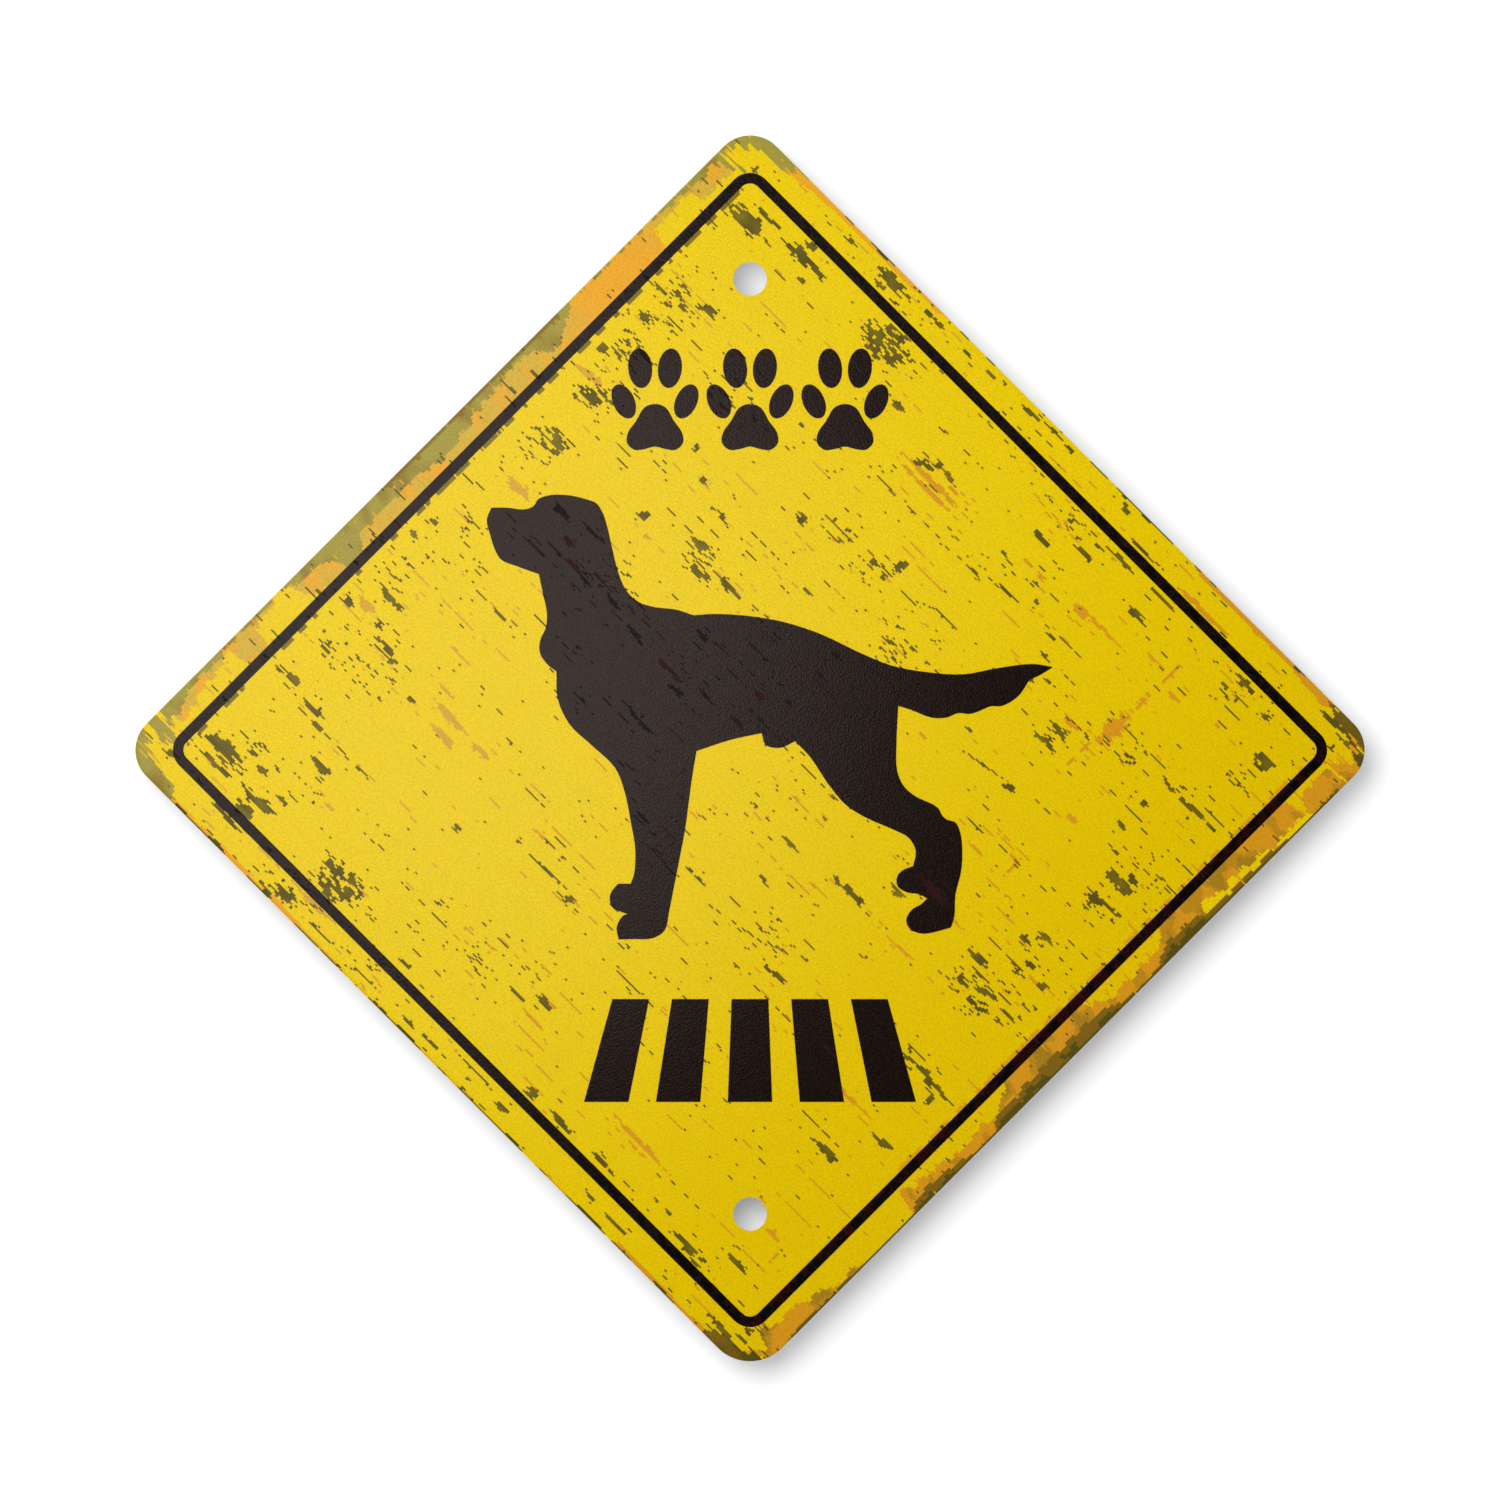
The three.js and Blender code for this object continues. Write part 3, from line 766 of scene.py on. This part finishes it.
# %% The fringe of the line
LINE_INNER_EDGE = 14.2
CORNER_CLEARANCE = 3
UNDER_THE_LINE = 1
OLIVE_FRINGE_DEPTH = 1.4
RUST_FRINGE_DEPTH = 1.25
OLIVE_FRINGE_COVER = 0.85
RUST_FRINGE_COVER = 0.75
RUST_FRINGE_ENDS = -68
OLIVE_BLOCKS_ABOVE = 0.49
RUST_BLOCKS_ABOVE = 0.47
NIBS_ABOVE = 0.7


def band(distance, depth):
    """One from just under the line's inner edge to a depth beyond it."""
    return (distance > LINE_INNER_EDGE - UNDER_THE_LINE) * (distance < LINE_INNER_EDGE + depth)


def fringe(film, face, colour):
    blocks = face.noise(60, 4.0, seed=104.4)
    nibs = face.noise(60, 1.4, seed=108.8, detail=0.0)
    between_corners = ((HALF - face.up) & (face.up + HALF)) > LINE_INNER_EDGE + CORNER_CLEARANCE
    upper_left = band(face.true_along + HALF, OLIVE_FRINGE_DEPTH) * between_corners
    lower_right = band(HALF - face.true_along, RUST_FRINGE_DEPTH) * between_corners
    lower_right = lower_right * (face.up > RUST_FRINGE_ENDS)
    colour = film.mix(upper_left * (blocks > OLIVE_BLOCKS_ABOVE) * OLIVE_FRINGE_COVER, colour, OLIVE)
    colour = film.mix(lower_right * (blocks > RUST_BLOCKS_ABOVE) * RUST_FRINGE_COVER, colour, RUST)
    return film.mix(lower_right * (nibs > NIBS_ABOVE), colour, OLIVE)


# %% [markdown]
# Both films are the same satin vinyl under the same laminate. A fine grain speckles the tone, and it goes
# into the gloss and a very shallow bump too, as the laminate's own texture does. So one function starts a
# film, and another lays the grain on it, with as much of it as each film shows.

# %% The vinyl and its grain
NO_LIGHT = (0, 0, 0, 1)
SATIN = 0.2
SHEEN = 0.2
SHEEN_TINT = (1.0, 0.82, 0.77, 1.0)
GRAIN_ROUGHNESS = 0.2
GRAIN_STRENGTH = 0.35
GRAIN_DEPTH = 0.2 * MM


def vinyl(name):
    return Finish(name, Roughness=SATIN, Specular_IOR_Level=SHEEN, Specular_Tint=SHEEN_TINT)


def lay_grain(film, wear, colour, darkening, speckling, worn_roughness):
    film.set("Base Color", film.mix(darkening + wear.speckle * speckling, colour, NO_LIGHT))
    film.set("Roughness", SATIN + wear.speckle * GRAIN_ROUGHNESS + worn_roughness)
    bump = {"Strength": GRAIN_STRENGTH, "Distance": GRAIN_DEPTH, "Height": wear.grain}
    film.set("Normal", film.node("Bump", {}, bump))


# %% [markdown]
# The yellow film is built up as the print is, plus painted shade: a yellow with clouds of its own tone that
# also darkens towards the lower right as painted shade of the light falling off, the worn margins with their
# painted rim shade, the fringe of the line, the rust, the olive chips, and at last the grain. Every layer is
# one mix over the one before, so the order of the lines is the order of the layers.

# %% The yellow film's finish
DEEPER_EVERYWHERE = 0.15
DEEPER_IN_CLOUDS = 0.3
SHADE_TOWARDS_LOWER_RIGHT = 0.75
RUSTY_FROM = -60
RUSTY_OVER = 30
LEAST_RUSTY = 0.5
OLIVE_COVER = 0.75
OLIVE_CLOUDS = 0.4
YELLOW_DARKENING = 0.07
YELLOW_SPECKLING = 0.65
YELLOW_WORN_MATT = 0.1


def yellow_film():
    film = vinyl("yellow_vinyl")
    face = Face(film)
    wear = Wear(face)
    # Painted shade: the yellow is mixed towards the deeper yellow more and more towards the lower right,
    # standing in for the light falling off there. The clouds of tone added next are the print's own.
    tone_and_shade = (face.true_along / HALF * SHADE_TOWARDS_LOWER_RIGHT) | 0.0
    tone_and_shade = wear.tone.swing(DEEPER_IN_CLOUDS) + DEEPER_EVERYWHERE + tone_and_shade
    colour = film.mix(tone_and_shade, YELLOW, DEEP_YELLOW)
    colour = fringe(film, face, worn_margins_and_rim_shade(film, face, colour))
    warm = film.mix((face.along - RUSTY_FROM) / RUSTY_OVER | LEAST_RUSTY, TAN, RUST)
    colour = film.mix(wear.rust, colour, warm)
    colour = film.mix(wear.dark * (OLIVE_COVER + wear.tone * OLIVE_CLOUDS), colour, OLIVE)
    lay_grain(film, wear, colour, YELLOW_DARKENING, YELLOW_SPECKLING, wear.dark * YELLOW_WORN_MATT)
    return film.material


yellow_finish = yellow_film()
print("yellow film:", len(yellow_finish.node_tree.nodes), "nodes")

# %% [markdown]
# ## The black film
# The same vinyl, printed black with a warm cast. It takes the same wear in the same places, which shows
# only as deeper black and as a dull dark red, so it uses the same masks with other colours. Worn spots are
# matt, so the sheen leaves them darker than the satin round them. The line runs through the worn margins,
# so it has deeper blocks of its own, and red ones along the lower right.

# %% The black film's finish
BLACK = seen(27, 16, 12)
DEEP_BLACK = seen(9, 9, 8)
DARK_RED = seen(48, 5, 5)
NEAR_THE_EDGE = 15
DARK_RED_COVER = 0.65
DEEP_BLACK_COVER = 0.9
BLACK_DARKENING = 0.25
BLACK_SPECKLING = 2.5
BLACK_WORN_MATT = 0.3
DEEP_BLOCKS_BELOW = 0.5
RED_BLOCKS_ABOVE = 0.53


def black_film():
    film = vinyl("black_vinyl")
    face = Face(film)
    wear = Wear(face)
    along_edge = (face.along + HALF) & (HALF - face.along) < NEAR_THE_EDGE
    up_edge = (HALF - face.up) & (face.up + HALF) < NEAR_THE_EDGE
    blocks = face.noise(3.0, 3.0, seed=131.3)
    deep = wear.dark | ((along_edge | up_edge) * (blocks < DEEP_BLOCKS_BELOW))
    red = wear.rust | ((face.along > HALF - NEAR_THE_EDGE) * (blocks > RED_BLOCKS_ABOVE))
    colour = film.mix(red * DARK_RED_COVER, BLACK, DARK_RED)
    colour = film.mix(deep * DEEP_BLACK_COVER, colour, DEEP_BLACK)
    matt = (wear.dark | wear.rust) * BLACK_WORN_MATT
    lay_grain(film, wear, colour, BLACK_DARKENING, BLACK_SPECKLING, matt)
    return film.material


black_finish = black_film()
print("black film:", len(black_finish.node_tree.nodes), "nodes")

# %% [markdown]
# ## The bare aluminium
# The back and the cut edge are mill finish sheet: faint straight roll lines, a cloudy tone where the oxide
# has dulled, and a few long scuffs from stacking. Stretched noise makes the lines, and they go into the
# roughness and a very shallow bump as much as into the colour, because a metal's look is mostly its
# reflections.

# %% The aluminium's finish
DULL_METAL = seen(206, 208, 211)
BRIGHT_METAL = seen(232, 233, 235)
ROLL_LINE = seen(196, 198, 200)
SCUFFED_METAL = seen(240, 241, 242)
SCUFF_LEAN = 38
SCUFF_LEVEL = 0.72
SCUFF_COVER = 0.4
METAL_ROUGHNESS = 0.34
CLOUD_ROUGHNESS = 0.25
LINE_ROUGHNESS = 0.2
LINE_CONTRAST = 0.8
LINE_COVER = 0.2
SCUFF_ROUGHNESS = 0.1
LINE_BUMP = {"Strength": 0.25, "Distance": 0.05 * MM}


def bare_aluminium():
    metal = Finish("mill_aluminium", Metallic=1.0)
    face = Face(metal)
    lines = face.noise(160, 0.35, seed=5.5, detail=3.0, roughness=0.7, fine=True)
    clouds = face.noise(60, 40, seed=17.5, detail=4.0, roughness=0.6, fine=True)
    scuffs = face.noise(50, 0.5, seed=29.5, detail=2.0, lean=SCUFF_LEAN, fine=True) > SCUFF_LEVEL
    colour = metal.mix(clouds, DULL_METAL, BRIGHT_METAL)
    colour = metal.mix(lines.swing(LINE_CONTRAST) + LINE_COVER, colour, ROLL_LINE)
    colour = metal.mix(scuffs * SCUFF_COVER, colour, SCUFFED_METAL)
    metal.set("Base Color", colour)
    uneven = clouds.swing(CLOUD_ROUGHNESS) + lines.swing(LINE_ROUGHNESS) + scuffs * SCUFF_ROUGHNESS
    metal.set("Roughness", METAL_ROUGHNESS + uneven)
    metal.set("Normal", metal.node("Bump", {}, {**LINE_BUMP, "Height": lines}))
    return metal.material


aluminium_finish = bare_aluminium()
print("aluminium:", len(aluminium_finish.node_tree.nodes), "nodes")

# %% [markdown]
# ## The blank
# The rolled front is extruded once, and the copy is pressed flat on the back plane by a scale of zero along
# Y, which leaves the walls of the rim and of both holes. The shear leaves a fine broken edge at the back,
# so that gets a narrow bevel.

# %% Build the blank
BROKEN_EDGE = 0.09 * MM
LEVEL_SLACK = 0.001 * MM
WALL_TURN = math.radians(60)


def wall_edges(sheet, level):
    """The edges at this level where a flat face meets a wall."""
    sheet.normal_update()
    found = []
    for edge in sheet.edges:
        at_level = all(abs(vert.co.y - level) < LEVEL_SLACK for vert in edge.verts)
        if at_level and len(edge.link_faces) == 2 and edge.calc_face_angle(0) > WALL_TURN:
            found.append(edge)
    return found


def narrow_bevel(sheet, level, width):
    bmesh.ops.bevel(sheet, geom=wall_edges(sheet, level), offset=width, offset_type="OFFSET",
                    affect="EDGES", segments=2, profile=ROUND, material=-1)


def build_blank():
    sheet, back = thickened_front()
    bmesh.ops.scale(sheet, vec=(1, 0, 1), verts=back)
    bmesh.ops.recalc_face_normals(sheet, faces=sheet.faces)
    narrow_bevel(sheet, blank_high.y, BROKEN_EDGE)
    finish_piece(sheet, "blank_sheet", "sign_blank", aluminium_finish)


build_blank()

# %% [markdown]
# ## The yellow film over it
# The film is the blank's own front, moved forward by its thickness. So it follows the rolled edge exactly
# and lies on the metal without a gap.

# %% Build the face film
film_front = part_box("face_film")[0].y


def build_face_film():
    sheet, front = thickened_front()
    bmesh.ops.translate(sheet, verts=front, vec=(0, film_front - blank_low.y, 0))
    finish_piece(sheet, "face_film_sheet", "face_film", yellow_finish)


build_face_film()
print("the film is", round((blank_low.y - film_front) / MM, 2), "mm thick")

# %% [markdown]
# ## The black marks
# The marks are cut film, so their fronts are flat and their cut edges are ever so slightly rounded. The
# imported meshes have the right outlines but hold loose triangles. A copy is welded, its flat triangles are
# joined into whole faces, and the front rim gets a very small bevel that holds a thread of light in close
# views.

# %% Build every black mark
CUT_EDGE = 0.025 * MM
WELD_DISTANCE = 0.0005 * MM
FLAT_TURN = math.radians(0.5)


def build_mark(name):
    mark = bmesh.new()
    mark.from_mesh(frame["nodes"][name].data)
    bmesh.ops.remove_doubles(mark, verts=mark.verts, dist=WELD_DISTANCE)
    bmesh.ops.dissolve_limit(mark, angle_limit=FLAT_TURN, verts=mark.verts, edges=mark.edges)
    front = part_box(name)[0].y
    narrow_bevel(mark, front, CUT_EDGE)
    finish_piece(mark, name + "_cut", name, black_finish)


for name in sorted(frame["nodes"]):
    if name not in ("sign_blank", "face_film"):
        build_mark(name)

# %% [markdown]
# ## The wall and the card
# The sign hangs a finger's width off a white wall, which keeps its soft shadow. The wall is solid only for
# the camera in front and for light that has already been scattered once, so the bare back can be looked at
# and lit as if no wall were there, and yet no light leaks in behind the sign to wash its shadow out. A
# satin film would show a white room as grey haze over its blacks, so a photographer stands a dark card in
# front of it and shoots through a hole. The card here needs no hole, because the camera doesn't see it.

# %% The stage
WALL_GAP = 12 * MM
WALL_GLOW = 0.2
WALL_WHITE = 0.9
WALL_SIZE = 3.0
CARD_DISTANCE = 1.9
CARD_SIZE = 4.2
CARD_DARK = 0.02
FIRST_BOUNCE = 0.5


def stage_plane(name, depth, material, size):
    plane = bmesh.new()
    place = Matrix.Translation((0, depth, 0)) @ STAND_UP
    bmesh.ops.create_grid(plane, x_segments=1, y_segments=1, size=size / 2, matrix=place)
    placed = object_from(plane, name, material)
    return placed


def light_path(finish, output):
    return Wire(finish, finish.node("LightPath").socket.node.outputs[output])


def background_rays(finish):
    """One for rays that see the background, in the camera or a reflection, and zero for rays that light."""
    kinds = ("Is Camera Ray", "Is Glossy Ray", "Is Transmission Ray")
    camera, glossy, clear = (light_path(finish, kind) for kind in kinds)
    return (camera | glossy | clear) * (light_path(finish, "Diffuse Depth") < FIRST_BOUNCE)


def grey(level):
    return (level, level, level, 1)


def wall_white():
    white = Finish("wall_white", Base_Color=grey(WALL_WHITE), Roughness=0.9, Specular_IOR_Level=0.0,
                   Emission_Strength=WALL_GLOW)
    white.set("Emission Color", white.mix(background_rays(white), NO_LIGHT, grey(1)))
    front = 1 - Wire(white, white.node("NewGeometry").socket.node.outputs["Backfacing"])
    solid = front * (light_path(white, "Is Camera Ray") | (light_path(white, "Diffuse Depth") > FIRST_BOUNCE))
    painted = Wire(white, white.shader.outputs[0])
    shown = white.node("MixShader", {}, {0: solid, 1: white.node("BsdfTransparent"), 2: painted})
    white.plug(white.tree.nodes["Material Output"].inputs["Surface"], shown)
    return white.material


stage_plane("wall", WALL_GAP, wall_white(), WALL_SIZE)
card_black = Finish("card_black", Base_Color=grey(CARD_DARK), Roughness=1.0, Specular_IOR_Level=0.0)
card = stage_plane("card", -CARD_DISTANCE, card_black.material, CARD_SIZE)
card.visible_camera = False
print("the wall stands", round(WALL_GAP / MM, 1), "mm behind the sign")

# %% [markdown]
# ## The light
# A large lamp at the upper left does most of the lighting and casts the shadow. It stands well back, so its
# light is even from corner to corner, and the yellow's darkening towards the lower right is painted shade in
# the film's colour. The film's own sheen is a soft patch on the left half that fades towards the lower right.
# A small lamp near the sign gives that patch. It is seen in reflections only, and the large one in none.

# %% The lamps
KEY_PLACE = Vector((-0.52, -1.55, 0.52))
KEY_SIZE = 1.7
KEY_POWER = 29.0
SHEEN_PLACE = Vector((-0.12, -0.45, 0.055))
SHEEN_SIZE = 0.30
SHEEN_POWER = 0.62


def lamp(name, place, aim, size, power):
    light = bpy.data.lights.new(name, "AREA")
    light.shape = "DISK"
    light.size = size
    light.energy = power
    placed = put_in_scene(name, light)
    placed.location = place
    placed.rotation_euler = (aim - place).to_track_quat("-Z", "Y").to_euler()
    placed.visible_camera = False
    return placed


key_lamp = lamp("key_lamp", KEY_PLACE, Vector((0, 0, 0)), KEY_SIZE, KEY_POWER)
key_lamp.visible_glossy = False
straight_ahead = Vector((SHEEN_PLACE.x, 0, SHEEN_PLACE.z))
sheen_lamp = lamp("sheen_lamp", SHEEN_PLACE, straight_ahead, SHEEN_SIZE, SHEEN_POWER)
sheen_lamp.visible_diffuse = False
distances = [round(place.length, 2) for place in (KEY_PLACE, SHEEN_PLACE)]
print("the lamps stand", distances, "m from the middle of the sign")

# %% [markdown]
# The room is plain white, and the card keeps it out of the film's reflections.

# %% The room
ROOM_LIGHT = 1.0
world = bpy.data.worlds.new("room")
bpy.context.scene.world = world
world.use_nodes = True
background = world.node_tree.nodes["Background"]
background.inputs["Color"].default_value = grey(1)
background.inputs["Strength"].default_value = ROOM_LIGHT

# %% [markdown]
# ## The camera
# The sign is seen square on, with no perspective, so the camera is orthographic. Its width is the width of
# the picture at the sign's scale.

# %% The camera
PICTURE_PIXELS = 1500
SIGN_SIDE_PIXELS = 891
CAMERA_DISTANCE = 1.2
camera_data = bpy.data.cameras.new("camera")
camera_data.type = "ORTHO"
camera_data.ortho_scale = 2 * half_side * PICTURE_PIXELS / SIGN_SIDE_PIXELS
camera = put_in_scene("camera", camera_data)
camera.location = (0, -CAMERA_DISTANCE, 0)
camera.rotation_euler = (math.radians(90), 0, 0)
bpy.context.scene.camera = camera
bpy.context.scene.view_settings.view_transform = "Standard"
print("the picture is", round(camera_data.ortho_scale / MM, 1), "mm wide")
